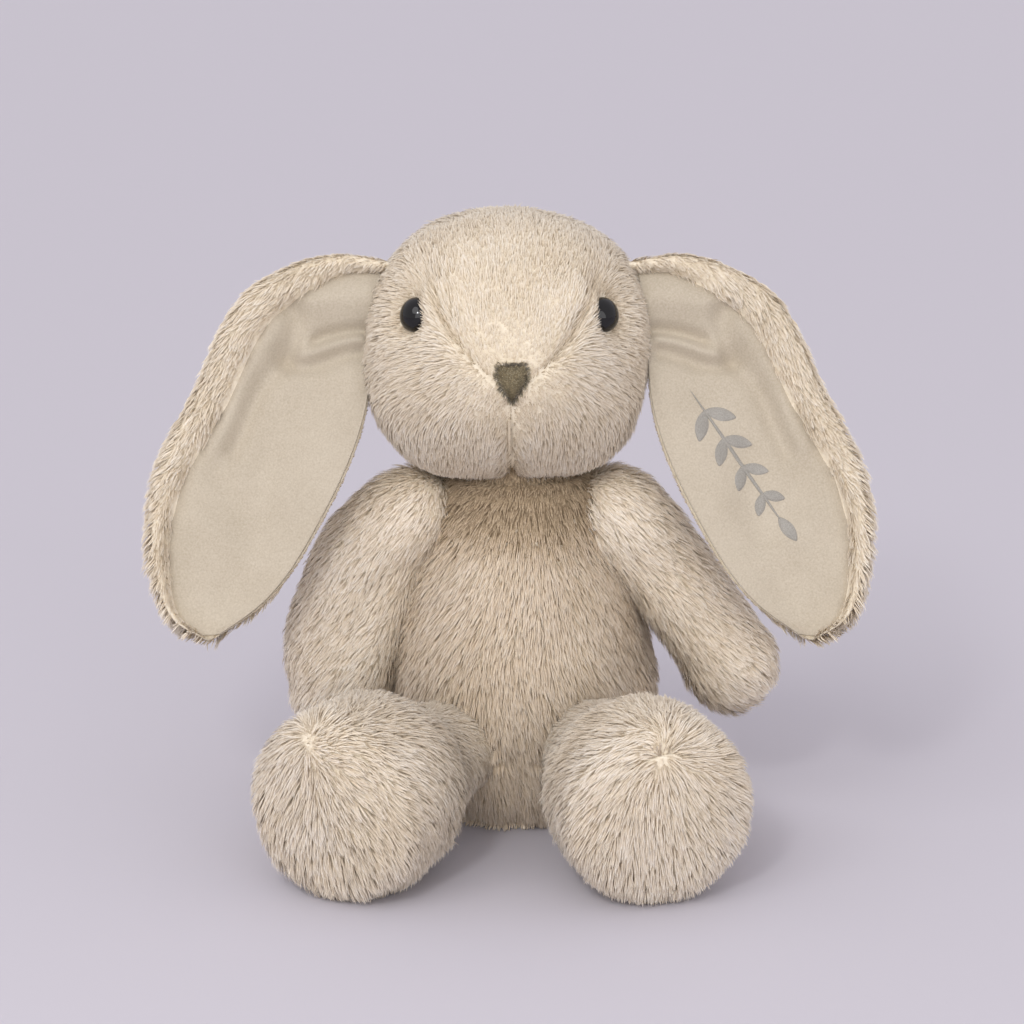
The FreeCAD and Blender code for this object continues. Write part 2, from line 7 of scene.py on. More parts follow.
import json
import math
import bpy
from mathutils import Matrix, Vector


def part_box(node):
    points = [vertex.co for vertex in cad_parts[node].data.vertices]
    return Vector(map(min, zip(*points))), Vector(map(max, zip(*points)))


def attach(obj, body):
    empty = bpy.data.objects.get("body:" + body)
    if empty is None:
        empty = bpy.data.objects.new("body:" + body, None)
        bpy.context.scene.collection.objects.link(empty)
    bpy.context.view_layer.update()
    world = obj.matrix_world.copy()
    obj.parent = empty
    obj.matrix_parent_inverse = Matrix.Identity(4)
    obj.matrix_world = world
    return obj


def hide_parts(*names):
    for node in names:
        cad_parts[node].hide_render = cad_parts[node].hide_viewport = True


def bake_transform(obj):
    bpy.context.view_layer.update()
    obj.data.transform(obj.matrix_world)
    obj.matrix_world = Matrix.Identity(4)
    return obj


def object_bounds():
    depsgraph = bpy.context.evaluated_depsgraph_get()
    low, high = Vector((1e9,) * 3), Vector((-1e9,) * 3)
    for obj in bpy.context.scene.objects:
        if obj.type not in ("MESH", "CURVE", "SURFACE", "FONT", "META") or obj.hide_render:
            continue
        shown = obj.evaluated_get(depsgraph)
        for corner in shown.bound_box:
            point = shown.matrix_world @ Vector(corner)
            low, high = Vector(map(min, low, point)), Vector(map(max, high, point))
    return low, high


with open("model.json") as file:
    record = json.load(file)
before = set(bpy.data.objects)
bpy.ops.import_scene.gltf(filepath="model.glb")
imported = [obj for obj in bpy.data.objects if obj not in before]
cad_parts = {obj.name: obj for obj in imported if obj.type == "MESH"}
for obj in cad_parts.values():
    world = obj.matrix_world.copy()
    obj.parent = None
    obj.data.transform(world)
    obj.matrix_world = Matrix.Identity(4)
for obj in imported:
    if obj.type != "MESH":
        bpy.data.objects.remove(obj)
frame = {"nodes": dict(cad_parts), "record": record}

import zlib

import bpy
import numpy as np
from mathutils import Vector, bvhtree, kdtree

MM = 0.001
CAD_BOX = [list(corner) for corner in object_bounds()]
JOINT = {j["name"]: j for j in frame["record"]["behaviour"]["joints"]}
UP = np.array([0.0, 0.0, 1.0])
FLOOR_GAP = 0.5  # the lowest any fur or skin reaches
SIDES = (("left", 1.0), ("right", -1.0))


def pivot(joint):
    return np.array(JOINT[joint]["pos_m"]) / MM


def middle(node):
    low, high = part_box(node)
    return (np.array(low) + np.array(high)) / 2 / MM


EAR_ABOVE_HEAD = 33.5
HEAD = pivot("ear_left_lift") * [0, 1, 1] - [0, 0, EAR_ABOVE_HEAD]
BODY = pivot("tail_wag") * [1, 0, 0] + [0, middle("body_stuffing")[1], 0]
EYES = {side: middle(f"eye_{side}_washer") for side, sign in SIDES}


# ---------------------------------------------------------------- numbers and fields


def unit(v):
    return v / np.maximum(np.linalg.norm(v, axis=-1, keepdims=True), 1e-9)


def dot(a, b):
    return np.sum(a * b, axis=-1, keepdims=True)


def seeded(name):
    return np.random.default_rng(zlib.crc32(name.encode()))


def smooth(x, low, high):
    t = np.clip((x - low) / (high - low), 0, 1)
    return t * t * (3 - 2 * t)


def bell(distance, width):
    return np.exp(-((distance / width) ** 2))


def lumps(p, size, seed):
    """Soft noise from -1 to 1 with features of about size, as a sum of a few turned waves."""
    rng = np.random.default_rng(seed)
    total = np.zeros(len(p))
    for _ in range(7):
        wave = unit(rng.normal(size=3)) * 2 * math.pi / (size * rng.uniform(1.2, 2.8))
        total += np.sin(p @ wave + rng.uniform(0, 2 * math.pi))
    return total / 4.0


def spline(points, at):
    """A smooth curve through points, read at shares of its length from 0 to 1."""
    points = np.array(points, float)
    steps = np.linalg.norm(np.diff(points[:, :3], axis=0), axis=1)
    knots = np.concatenate([[0], np.cumsum(steps)]) / steps.sum()
    slopes = np.gradient(points, knots, axis=0)
    i = np.clip(np.searchsorted(knots, at, side="right") - 1, 0, len(knots) - 2)
    span = (knots[i + 1] - knots[i])[:, None]
    t = ((at - knots[i]) / span[:, 0])[:, None]
    a, b = points[i], points[i + 1]
    return (
        (2 * t**3 - 3 * t**2 + 1) * a
        + (t**3 - 2 * t**2 + t) * span * slopes[i]
        + (3 * t**2 - 2 * t**3) * b
        + (t**3 - t**2) * span * slopes[i + 1]
    )


# ---------------------------------------------------------------- meshes


class Skin:
    """Points and faces of one closed cover, with a normal at each point."""

    def __init__(self, points, faces):
        self.points = points
        self.faces = faces
        self.refresh()

    def refresh(self):
        self.points[:, 2] = np.maximum(self.points[:, 2], FLOOR_GAP)
        tris = self.triangles()
        a, b, c = (self.points[tris[:, k]] for k in range(3))
        across = np.cross(b - a, c - a)
        normals = np.zeros_like(self.points)
        for k in range(3):
            np.add.at(normals, tris[:, k], across)
        self.normals = unit(normals)

    def triangles(self):
        tris = []
        for face in self.faces:
            face = np.asarray(face)
            for k in range(1, face.shape[1] - 1):
                tris.append(face[:, [0, k, k + 1]])
        return np.concatenate(tris)

    def push(self, amount):
        self.points = self.points + self.normals * np.asarray(amount)[:, None]
        self.refresh()

    def enclose(self, node, gap, below=math.inf):
        """Move every point that is not a gap outside a CAD node out to there, up to a height."""
        mesh = frame["nodes"][node].data
        corners = [v.co for v in mesh.vertices]
        tree = bvhtree.BVHTree.FromPolygons(corners, [f.vertices[:] for f in mesh.polygons])
        for i, point in enumerate(self.points):
            place = Vector(point * MM)
            spot, normal, _, _ = tree.find_nearest(place)
            if point[2] < below and (place - spot).dot(normal) < gap * MM:
                self.points[i] = np.array(spot + normal * gap * MM) / MM
        self.refresh()


def tube(rings):
    """A closed skin from rings of points, each end drawn to a point at its ring's middle."""
    rings = np.array(rings)
    count, around = rings.shape[:2]
    points = np.concatenate([rings.reshape(-1, 3), rings[:1].mean(1), rings[-1:].mean(1)])
    index = np.arange(count * around).reshape(count, around)
    turned = np.roll(index, -1, axis=1)
    quads = np.stack([index[:-1], turned[:-1], turned[1:], index[1:]], -1).reshape(-1, 4)
    first = np.stack([turned[0], index[0], np.full(around, count * around)], -1)
    last = np.stack([index[-1], turned[-1], np.full(around, count * around + 1)], -1)
    return Skin(points, [quads, first, last])


def stuffed(stations, side, rings, around):
    """A stuffed form: stations are (x, y, z, half width, half depth) along its middle line."""
    share = 0.5 - 0.5 * np.cos(np.linspace(0.02, math.pi - 0.02, rings))
    line = spline(stations, share)
    along = unit(np.gradient(line[:, :3], axis=0))
    across = unit(np.array(side, float) - dot(along, np.array(side, float)) * along)
    other = np.cross(along, across)
    turn = np.linspace(0, 2 * math.pi, around, endpoint=False)
    c, s = np.cos(turn), np.sin(turn)
    wide = line[:, 3:4, None] * across[:, None, :] * c[None, :, None]
    deep = line[:, 4:5, None] * other[:, None, :] * s[None, :, None]
    return tube(line[:, None, :3] + wide + deep)


def build(name, points, faces, materials, slots=None, normals=None):
    """A Blender mesh object from arrays in millimetres; faces are arrays with 3 or 4 columns."""
    mesh = bpy.data.meshes.new(name)
    sizes = np.concatenate([np.full(len(f), np.asarray(f).shape[1]) for f in faces])
    corners = np.concatenate([np.asarray(f).reshape(-1) for f in faces]).astype(np.int32)
    mesh.vertices.add(len(points))
    mesh.vertices.foreach_set("co", (np.asarray(points) * MM).astype(np.float32).reshape(-1))
    mesh.loops.add(len(corners))
    mesh.loops.foreach_set("vertex_index", corners)
    mesh.polygons.add(len(sizes))
    starts = np.concatenate([[0], np.cumsum(sizes)[:-1]]).astype(np.int32)
    mesh.polygons.foreach_set("loop_start", starts)
    for material in materials:
        mesh.materials.append(material)
    if slots is not None:
        mesh.polygons.foreach_set("material_index", np.asarray(slots, np.int32))
    mesh.update(calc_edges=True)
    mesh.polygons.foreach_set("use_smooth", np.full(len(sizes), True))
    if normals is not None:
        mesh.normals_split_custom_set_from_vertices(normals.astype(np.float32))
    obj = bpy.data.objects.new(name, mesh)
    bpy.context.scene.collection.objects.link(obj)
    return obj


# ---------------------------------------------------------------- materials


def linear(rgb):
    """Blender's linear colour from a colour given as 0-255 numbers."""
    c = np.array(rgb, float) / 255
    return tuple(np.where(c <= 0.04045, c / 12.92, ((c + 0.055) / 1.055) ** 2.4)) + (1.0,)


SHEEN_TINT = (255, 250, 240)


def new_material(name, rough, sheen=0.0):
    material = bpy.data.materials.new(name)
    material.use_nodes = True
    shader = material.node_tree.nodes["Principled BSDF"]
    shader.inputs["Roughness"].default_value = rough
    shader.inputs["Sheen Weight"].default_value = sheen
    shader.inputs["Sheen Roughness"].default_value = 0.5
    shader.inputs["Sheen Tint"].default_value = linear(SHEEN_TINT)
    return material, shader


def plain(name, rgb):
    """The even dye of one strand, with no texture; the mix of strands makes the pattern."""
    material, shader = new_material(name, 0.9, 0.25)
    shader.inputs["Base Color"].default_value = linear(rgb)
    shader.inputs["Specular IOR Level"].default_value = 0.2
    return material


def cloth(name, dark, light, grain, relief, rough=0.9, sheen=0.3, stretch=(1, 1, 1), blotch=14.0):
    """Cloth with a fine grain of grain millimetres, slow blotches of tone and a bumped surface."""
    material, shader = new_material(name, rough, sheen)
    nodes, links = material.node_tree.nodes, material.node_tree.links
    place = nodes.new("ShaderNodeTexCoord")
    scaled = nodes.new("ShaderNodeMapping")
    scaled.inputs["Scale"].default_value = stretch
    links.new(place.outputs["Object"], scaled.inputs["Vector"])
    fine = nodes.new("ShaderNodeTexNoise")
    fine.inputs["Scale"].default_value = 1 / (grain * MM)
    fine.inputs["Detail"].default_value = 3.0
    slow = nodes.new("ShaderNodeTexNoise")
    slow.inputs["Scale"].default_value = 1 / (blotch * MM)
    for noise in (fine, slow):
        links.new(scaled.outputs["Vector"], noise.inputs["Vector"])
    both = nodes.new("ShaderNodeMath")
    both.operation = "MULTIPLY_ADD"
    links.new(slow.outputs["Fac"], both.inputs[0])
    both.inputs[1].default_value = 0.5
    links.new(fine.outputs["Fac"], both.inputs[2])
    ramp = nodes.new("ShaderNodeValToRGB")
    ramp.color_ramp.elements[0].position = 0.5
    ramp.color_ramp.elements[0].color = linear(dark)
    ramp.color_ramp.elements[1].position = 1.0
    ramp.color_ramp.elements[1].color = linear(light)
    links.new(both.outputs["Value"], ramp.inputs["Fac"])
    links.new(ramp.outputs["Color"], shader.inputs["Base Color"])
    bump = nodes.new("ShaderNodeBump")
    bump.inputs["Strength"].default_value = 0.6
    bump.inputs["Distance"].default_value = relief * MM
    links.new(fine.outputs["Fac"], bump.inputs["Height"])
    links.new(bump.outputs["Normal"], shader.inputs["Normal"])
    return material


TONES = (0.85, 0.92, 0.97, 1.0, 1.02)
# darker tones that strands reach where painted shade darkens them: under the chin, where they also give the
# chest fur's browner tone, in the face's seams and round the eyes
SHADE_AND_BROWN_TONES = (0.64, 0.75)


def palette(name, rgb, tones):
    """Strand colours from the shaded root to the bleached tip."""
    warm = np.array([1.0, 0.985, 0.96])
    shades = []
    for i, tone in enumerate(tones):
        shade = np.array(rgb, float) * tone * warm ** (len(tones) - 1 - i)
        shades.append(plain(f"{name}_{i}", np.clip(shade, 0, 255)))
    return shades


FUR = {
    "head": palette("fur_head", (236, 228, 214), SHADE_AND_BROWN_TONES + TONES),
    "body": palette("fur_body", (229, 217, 200), SHADE_AND_BROWN_TONES + TONES),
    "limb": palette("fur_limb", (247, 239, 226), TONES),
    "foot": palette("fur_foot", (238, 230, 217), TONES),
}
BACKING = cloth("fur_backing", (222, 208, 182), (240, 229, 208), 1.2, 0.6)
# darker backing for under the chin and the neck: painted shade there, with the chest fur's own browner tone
SHADE_AND_BROWN_BACKING = cloth("fur_backing_shade_and_brown", (142, 122, 94), (172, 152, 122), 1.2, 0.6)
VELOUR = cloth("ear_velour", (176, 164, 144), (195, 184, 165), 0.7, 0.25, sheen=0.3, blotch=22.0)
NOSE = cloth("nose_pile", (92, 80, 56), (140, 126, 96), 0.8, 0.6)
GREY_THREAD = cloth("grey_thread", (134, 130, 122), (170, 165, 156), 0.35, 0.2, rough=0.6)
CREAM_THREAD = cloth("cream_thread", (186, 170, 144), (222, 208, 184), 0.4, 0.2, rough=0.7)
FIBREFILL = cloth("fibrefill", (226, 226, 224), (250, 250, 248), 2.5, 1.5)
POUCH = cloth("pouch_cotton", (206, 200, 184), (232, 228, 214), 0.5, 0.2, stretch=(1, 1, 3))
PELLETS = cloth("pellets", (180, 184, 186), (240, 240, 238), 3.0, 1.0, rough=0.5, sheen=0.0)
SATIN = cloth("label_satin", (226, 224, 218), (246, 245, 241), 0.3, 0.1, rough=0.45, stretch=(1, 1, 5))
WASHER = cloth("washer_plastic", (206, 206, 202), (230, 230, 226), 0.6, 0.1, rough=0.5, sheen=0.0)
EYE = cloth("eye_plastic", (4, 3, 3), (9, 8, 8), 2.0, 0.01, rough=0.03, sheen=0.0)


# ---------------------------------------------------------------- fur


STRAND_SHARES = np.array([0.0, 0.4, 0.74, 1.0])
STRAND_WIDTHS = np.array([0.8, 1.0, 0.72])
ROOT_DEPTH = 0.5  # how far below its skin a strand starts


def scatter(skin, per_mm2, keep, rng):
    """Points spread evenly over the skin where keep, a share at each point of it, lets them stand."""
    tris = skin.triangles()
    a, b, c = (skin.points[tris[:, k]] for k in range(3))
    area = np.linalg.norm(np.cross(b - a, c - a), axis=1) / 2 * keep[tris].mean(1)
    count = int(area.sum() * per_mm2)
    chosen = rng.choice(len(tris), count, p=area / area.sum())
    u, v = np.sqrt(rng.random((count, 1))), rng.random((count, 1))
    weights = (1 - u, u * (1 - v), u * v)
    place = sum(w * skin.points[tris[chosen, k]] for k, w in enumerate(weights))
    normal = unit(sum(w * skin.normals[tris[chosen, k]] for k, w in enumerate(weights)))
    return place, normal


def gathered(roots, tips, every, pull, rng):
    """Draw each tip towards the tip of the nearest of a few leading strands, so that fur falls in tufts."""
    leaders = rng.choice(len(roots), max(2, len(roots) // every), replace=False)
    tree = kdtree.KDTree(len(leaders))
    for i, leader in enumerate(leaders):
        tree.insert(roots[leader], i)
    tree.balance()
    nearest = leaders[np.array([tree.find(root)[1] for root in roots])]
    return tips + (tips[nearest] - tips) * pull[:, None]


def strand_lines(roots, normals, comb, length, lift, rng):
    """The way each strand starts, the way it ends, and its length."""
    count = len(roots)
    lie = comb(roots, normals)
    lie = unit(lie - dot(lie, normals) * normals + rng.normal(size=(count, 3)) * 0.12)
    lie = unit(lie - dot(lie, normals) * normals)
    reach = length(roots) * rng.uniform(0.72, 1.12, count)
    reach = reach * (1 + 0.12 * lumps(roots, 9.0, 5))
    rise = np.clip(lift + 0.1 * rng.normal(size=count) + 0.1 * lumps(roots, 12.0, 9), 0.08, 1.2)[:, None]
    start = unit(normals * (rise + 0.35) + lie * 0.6)
    end = unit(normals * (rise - 0.25) + lie - UP * 0.12)
    return start, end, reach[:, None]


def strand_points(roots, normals, start, end, reach, shift, width, rng):
    """Seven points for each strand: three pairs along it and its tip, wound to face outward."""
    flat = unit(np.cross(end, normals) + rng.normal(size=(len(roots), 3)) * 0.3)
    half = width / 2 * rng.uniform(0.75, 1.25, len(roots))[:, None]
    rows = []
    for share, wide in zip(STRAND_SHARES, [*STRAND_WIDTHS, 0.0]):
        line = roots + (start * share * (1 - 0.55 * share) + end * 0.55 * share**2) * reach
        line = line + shift * share**1.6 - normals * ROOT_DEPTH * (1 - share)
        rows.append(line - flat * half * wide)
        if wide:
            rows.append(line + flat * half * wide)
    points = np.stack(rows, 1)
    points[..., 2] = np.maximum(points[..., 2], FLOOR_GAP)
    facing = np.sum(np.cross(points[:, 1] - points[:, 0], points[:, 2] - points[:, 0]) * normals, 1) < 0
    points[facing] = points[facing][:, [1, 0, 3, 2, 5, 4, 6]]
    return points


def strand_tones(roots, tones, shade, rng):
    """The tone at each strand's root, lowered by painted shade; its middle and tip take the next two."""
    lightest = len(tones) - 3
    tone = lightest - 1 + 0.5 * lumps(roots, 16.0, 3) + 0.5 * rng.normal(size=len(roots)) - shade(roots)
    return np.clip(np.round(tone), 0, lightest).astype(int)


def fur(
    name,
    skin,
    tones,
    comb,
    length,
    per_mm2=1.75,
    lift=0.27,
    width=0.4,
    keep=None,
    every=20,
    pull=0.32,
    shade=lambda p: 0.0,
):
    """A front and a back coat of strands on a skin.

    At a root, comb gives the strand's lie, length its length and shade how many tones of painted shade
    darken it.
    The share of strands that stand at each point of the skin is keep, and lift is how steeply they rise.
    One strand in every leads a tuft, and pull is how far the others lean towards it.
    """
    rng = seeded(name)
    keep = np.ones(len(skin.points)) if keep is None else keep
    roots, normals = scatter(skin, per_mm2, keep, rng)
    start, end, reach = strand_lines(roots, normals, comb, length, lift, rng)
    tips = roots + (start * 0.45 + end * 0.55) * reach
    lean = pull * rng.uniform(0.5, 1.3, len(roots))
    shift = gathered(roots, tips, every, lean, rng) - tips
    points = strand_points(roots, normals, start, end, reach, shift, width, rng)
    tone = strand_tones(roots, tones, shade, rng)
    shading = unit(normals[:, None] + unit(end)[:, None] * 0.1 + rng.normal(size=(len(roots), 1, 3)) * 0.07)
    ahead = roots[:, 1] < np.median(roots[:, 1])
    return [
        ribbons(f"{name}_{part}", points[chosen], tone[chosen], shading[chosen], tones)
        for part, chosen in (("front", ahead), ("back", ~ahead))
    ]


def ribbons(name, points, tone, shading, tones):
    """One mesh of strands of seven points each; a strand's three faces get lighter towards its tip."""
    count = len(points)
    base = (np.arange(count) * 7)[:, None]
    faces = [base + [0, 1, 3, 2], base + [2, 3, 5, 4], base + [4, 5, 6]]
    slots = np.concatenate([tone, tone + 1, tone + 2])
    obj = build(name, points.reshape(-1, 3), faces, tones, slots, np.repeat(shading, 7, 1).reshape(-1, 3))
    return obj


def clear_of(points, centre, radius, edge):
    """From 0 within a radius of a centre to 1 at an edge's width beyond it."""
    return smooth(np.linalg.norm(points - centre, axis=1), radius, radius + edge)


def plush_cover(name, skin, materials=(BACKING,), slots=None):
    """The sewn cover under a coat of fur."""
    cover = build(name, skin.points, skin.faces, materials, slots)
    return cover


def ride_together(pieces, body):
    for piece in pieces:
        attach(piece, body)


# ---------------------------------------------------------------- body

BODY_LEAN = 1.5  # how far the body's top leans forward and to its right
CHIN_SHADE = 112.0  # the height where the painted shade and the browner chest fur under the chin begin


def body_cover():
    """The pear of the body, from (height, half width, half depth) rows, drawn in along its seams."""
    profile = [
        (0.6, 22, 22),
        (1.5, 31, 30),
        (6, 38, 37),
        (14, 44.5, 43),
        (27, 49, 47.5),
        (44, 51.5, 50),
        (62, 51, 49),
        (80, 48, 46),
        (97, 43.5, 41.5),
        (112, 38.5, 37),
        (124, 34.5, 34.5),
        (133, 30, 31),
        (138, 23, 24.5),
        (140, 9, 9),
    ]
    top = profile[-1][0]
    stations = []
    for z, wide, deep in profile:
        lean = -BODY_LEAN * z / top
        stations.append((BODY[0] + lean, BODY[1] + lean, z, wide, deep))
    skin = stuffed(stations, (1, 0, 0), rings=90, around=120)
    p = skin.points
    front = smooth(BODY[1] - p[:, 1], 5, 20)
    side = np.abs(np.abs(np.arctan2(p[:, 0] - BODY[0], BODY[1] - p[:, 1])) - math.radians(75)) * 40
    low_seam = bell(p[:, 0] - BODY[0] + 2, 2.2) * front * smooth(60 - p[:, 2], 0, 25)
    back_seam = bell(p[:, 0] - BODY[0], 2.0) * (1 - front)
    skin.push(1.1 * lumps(p, 34, 21) - 1.3 * low_seam - 1.2 * back_seam - 1.0 * bell(side, 2.2))
    skin.enclose("body_stuffing", 1.2, below=118)
    return skin


def body_comb(p, n):
    """Down the belly, parting outward from the front seam and sideways under the arms."""
    out = np.sign(p[:, 0:1] - BODY[0]) * smooth(np.abs(p[:, 0:1] - BODY[0]), 3, 30)
    sideways = np.concatenate([out * 0.35, np.zeros_like(out), np.zeros_like(out)], 1)
    swirl = lumps(p, 40, 17)[:, None] * np.cross(n, UP) * 0.35
    return -UP + sideways + swirl


def make_body():
    skin = body_cover()
    middles = np.concatenate([skin.points[np.asarray(faces)].mean(1) for faces in skin.faces])
    # faces in front above a dithered height take the darker backing: painted shade under the chin, with the
    # chest fur's own browner tone
    height = middles[:, 2] + 6 * seeded("chin_shade").normal(size=len(middles))
    chin_shade_and_brown = (height > CHIN_SHADE) & (middles[:, 1] < BODY[1])
    cover = plush_cover("body_cover", skin, [BACKING, SHADE_AND_BROWN_BACKING], chin_shade_and_brown)
    keep = np.ones(len(skin.points))
    for side, sign in SIDES:
        keep *= clear_of(skin.points, pivot(f"arm_{side}_raise"), 12, 4)
        keep *= clear_of(skin.points, pivot(f"leg_{side}_swing"), 15, 4)
    keep *= smooth(139 - skin.points[:, 2], 0, 2) * smooth(skin.points[:, 2], 0.8, 2)
    coats = fur(
        "body_fur",
        skin,
        FUR["body"],
        body_comb,
        lambda p: 8.0 - 2.5 * smooth(p[:, 2], 100, 130),
        keep=keep,
        # strands under the chin in front are darkened: painted shade, with the chest fur's browner tone
        shade=lambda p: 3.6 * smooth(p[:, 2], 104, 132) * smooth(BODY[1] - p[:, 1], -5, 20),
    )
    ride_together((cover, *coats), "body")
    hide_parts("body_front_panel", "body_back_left_panel", "body_back_right_panel")


# ---------------------------------------------------------------- neck and head


NECK_GAP = 0.8  # how far the neck's cover stands off its wad


def make_neck():
    """A furred roll over the neck's wad, so that no gap shows as the head turns."""
    low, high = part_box("neck_stuffing")
    centre, reach = pivot("neck_tilt"), (high[0] - low[0]) / 2 / MM
    steps = [(reach * math.sin(a), reach * math.cos(a)) for a in np.radians(np.linspace(-80, 80, 9))]
    stations = [(*(centre + UP * rise), wide + NECK_GAP, wide + NECK_GAP) for rise, wide in steps]
    skin = stuffed(stations, (1, 0, 0), rings=40, around=72)
    skin.enclose("neck_stuffing", NECK_GAP)
    # the whole neck cover takes the darker backing, as painted shade under the chin
    cover = plush_cover("neck_cover", skin, [SHADE_AND_BROWN_BACKING])
    above = skin.points[:, 2] - centre[2]
    keep = smooth(above, -1, 3) * (1 - smooth(above, 17, 20))
    coats = fur(
        "neck_fur",
        skin,
        FUR["body"],
        lambda p, n: n - UP * 1.5,
        lambda p: np.full(len(p), 4.5),
        keep=keep,
        # strands on the front are darkened as painted shade under the chin
        shade=lambda p: 3.2 * smooth(centre[1] - p[:, 1], -8, 8),
    )
    ride_together((cover, *coats), "neck")


HEAD_SIZE = (51.8, 48.0, 50.0)
HEAD_POWER = 2.3  # above 2, which is an ellipsoid, the head is squarer
EYE_REACH = 51.0  # from the head's middle to the skin under an eye
NOSE_POINT = HEAD + [1.0, -48.5, -5.0]


def head_cover():
    """A squarish ball with a muzzle, cheeks and jowls pushed out, and eyes and seams drawn in."""
    turn = np.radians(np.linspace(0, 360, 150, endpoint=False))
    rings = []
    for lift in np.radians(np.linspace(-88.5, 88.5, 110)):
        level = np.cos(turn) * math.cos(lift), np.sin(turn) * math.cos(lift)
        rings.append(np.stack([*level, np.full(len(turn), math.sin(lift))], 1))
    aim = np.array(rings)
    size = np.array(HEAD_SIZE)
    reach = np.sum(np.abs(aim / size) ** HEAD_POWER, -1, keepdims=True) ** (-1 / HEAD_POWER)
    skin = tube(HEAD + aim * reach)
    p = skin.points
    q = p - HEAD
    muzzle = bell(np.linalg.norm((q - [1.0, -46, -8]) * [0.8, 1, 1], axis=1), 26)
    cheeks = sum(bell(np.linalg.norm(q - [30 * s, -30, -20], axis=1), 20) for s in (-1, 1))
    jowls = sum(bell(np.linalg.norm(q - [34 * s, -20, -38], axis=1), 17) for s in (-1, 1))
    brow = bell(np.linalg.norm((q - [0, -38, 22]) * [0.7, 1, 1], axis=1), 18)
    full = bell(np.linalg.norm(q - [-46, -10, -12], axis=1), 26)
    skin.push(5.0 * muzzle + 1.8 * cheeks + 3.6 * full + 4.0 * jowls - 1.0 * brow + 0.7 * lumps(p, 30, 31))
    for side, sign in SIDES:
        aim, inward = eye_lines(side, sign)
        place = HEAD + aim * EYE_REACH
        dent = bell(np.linalg.norm(skin.points - place + inward * 1.5, axis=1), 9.5)
        ridge = bell(np.linalg.norm(skin.points - place - inward * 9.5, axis=1), 7.0)
        skin.push(3.2 * ridge - 5.0 * dent)
    front, across, rise = face_place(skin.points)
    chin = bell(across, 1.8) * smooth(-rise, 4, 9) * front
    seam = bell(gusset_side(across, rise), 2.2) * front * smooth(rise, -2, 3) * (1 - smooth(rise, 24, 44))
    skin.push(-2.6 * chin - 1.5 * seam)
    skin.enclose("head_stuffing", 1.0)
    return skin


def eye_lines(side, sign):
    """The way an eye faces, and the way from it over the head towards the forehead."""
    aim = unit(EYES[side] - HEAD)
    inward = np.array([-sign, -0.2, 0.25])
    return aim, unit(inward - dot(inward, aim) * aim)


def face_place(p):
    """How far forward a point is, from 0 to 1, and its place across and above the nose."""
    q = p - NOSE_POINT
    return smooth(HEAD[1] - p[:, 1], -8, 10), q[:, 0], q[:, 2]


def gusset_side(across, rise):
    """Millimetres outside the seam that runs from the nose up past each eye; negative on the forehead."""
    reach = 7 + 32 * (1 - np.exp(-np.maximum(rise, 0) / 26))
    return np.abs(across) - reach + 40 * smooth(-rise, 0, 3)


def head_comb(p, n):
    """Away from the nose over the cheeks, down the chin, and up over the forehead inside the seams."""
    front, across, rise = face_place(p)
    outside = gusset_side(across, rise)
    inside = (1 - smooth(outside, -1.0, 1.0)) * front
    out = unit(np.stack([across, np.full(len(p), 8.0), rise - 8.0], 1))
    down = smooth(-rise, 8, 26)[:, None]
    parting = (bell(across, 5) * smooth(-rise, 2, 8) * np.sign(across))[:, None]
    cheek = out * (1 - 0.7 * down) - UP * (0.25 + down) + np.array([1.0, 0, 0]) * parting * 1.6
    cheek = cheek + UP * (0.8 * bell(outside - 2, 4) * front * smooth(rise, 2, 10))[:, None]
    forehead = np.stack([across * 0.012, np.full(len(p), 0.4), np.full(len(p), 1.0)], 1)
    back = np.tile([0.0, 0.3, -1.0], (len(p), 1))
    mixed = cheek * (1 - inside)[:, None] + forehead * inside[:, None]
    return mixed * front[:, None] + back * (1 - front)[:, None]


def head_length(p):
    """Short on the forehead, the chin and round the eyes, and longest behind."""
    front, across, rise = face_place(p)
    outside = gusset_side(across, rise)
    face = 3.0 + 3.6 * smooth(np.hypot(across, rise), 8, 30)
    face = face * (1 - 0.35 * smooth(-outside, 2, 8)) * (1 - 0.3 * smooth(-rise, 16, 30))
    face = face * (1 - 0.4 * bell(across, 3) * smooth(-rise, 2, 8))
    near = np.min([eye_distance(p, side, sign) for side, sign in SIDES], axis=0)
    return (face * front + 7.0 * (1 - front)) * (0.6 + 0.4 * smooth(near, 7, 16))


def painted_face_shade(p):
    """How many tones darker the fur is painted, as shade in the seams' partings, in the chin's crease and
    round the eyes.
    """
    front, across, rise = face_place(p)
    gusset = bell(gusset_side(across, rise) + 0.5, 1.4) * smooth(rise, -2, 3) * (1 - smooth(rise, 20, 40))
    chin = bell(across, 1.2) * smooth(-rise, 4, 9)
    near = np.min([eye_distance(p, side, sign) for side, sign in SIDES], axis=0)
    return front * (2.0 * gusset + 2.6 * chin) + 1.4 * bell(near - 6.5, 2.5)


def eye_distance(p, side, sign):
    """Distance from the line that an eye faces along."""
    aim, _ = eye_lines(side, sign)
    q = p - HEAD
    off = np.linalg.norm(q - dot(q, aim[None]) * aim, axis=1)
    return np.where(dot(q, aim[None])[:, 0] > 0, off, 99.0)


def make_head():
    skin = head_cover()
    cover = plush_cover("head_cover", skin)
    keep = clear_of(skin.points, NOSE_POINT, 4.0, 2.5)
    for side, sign in SIDES:
        keep *= smooth(eye_distance(skin.points, side, sign), 5.8, 7.0)
    coats = fur(
        "head_fur",
        skin,
        FUR["head"],
        head_comb,
        head_length,
        per_mm2=2.0,
        lift=0.24,
        width=0.38,
        keep=keep,
        pull=0.25,
        shade=painted_face_shade,
    )
    ride_together((cover, *coats), "head")
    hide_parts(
        "head_left_cheek_panel",
        "head_right_cheek_panel",
        "head_forehead_gusset",
        "head_back_panel",
    )


# ---------------------------------------------------------------- limbs


def limb_stations(start, aim, steps):
    """Stations along a straight line: each step is (distance, half width, half depth)."""
    return [(*(start + aim * d), wide, deep) for d, wide, deep in steps]


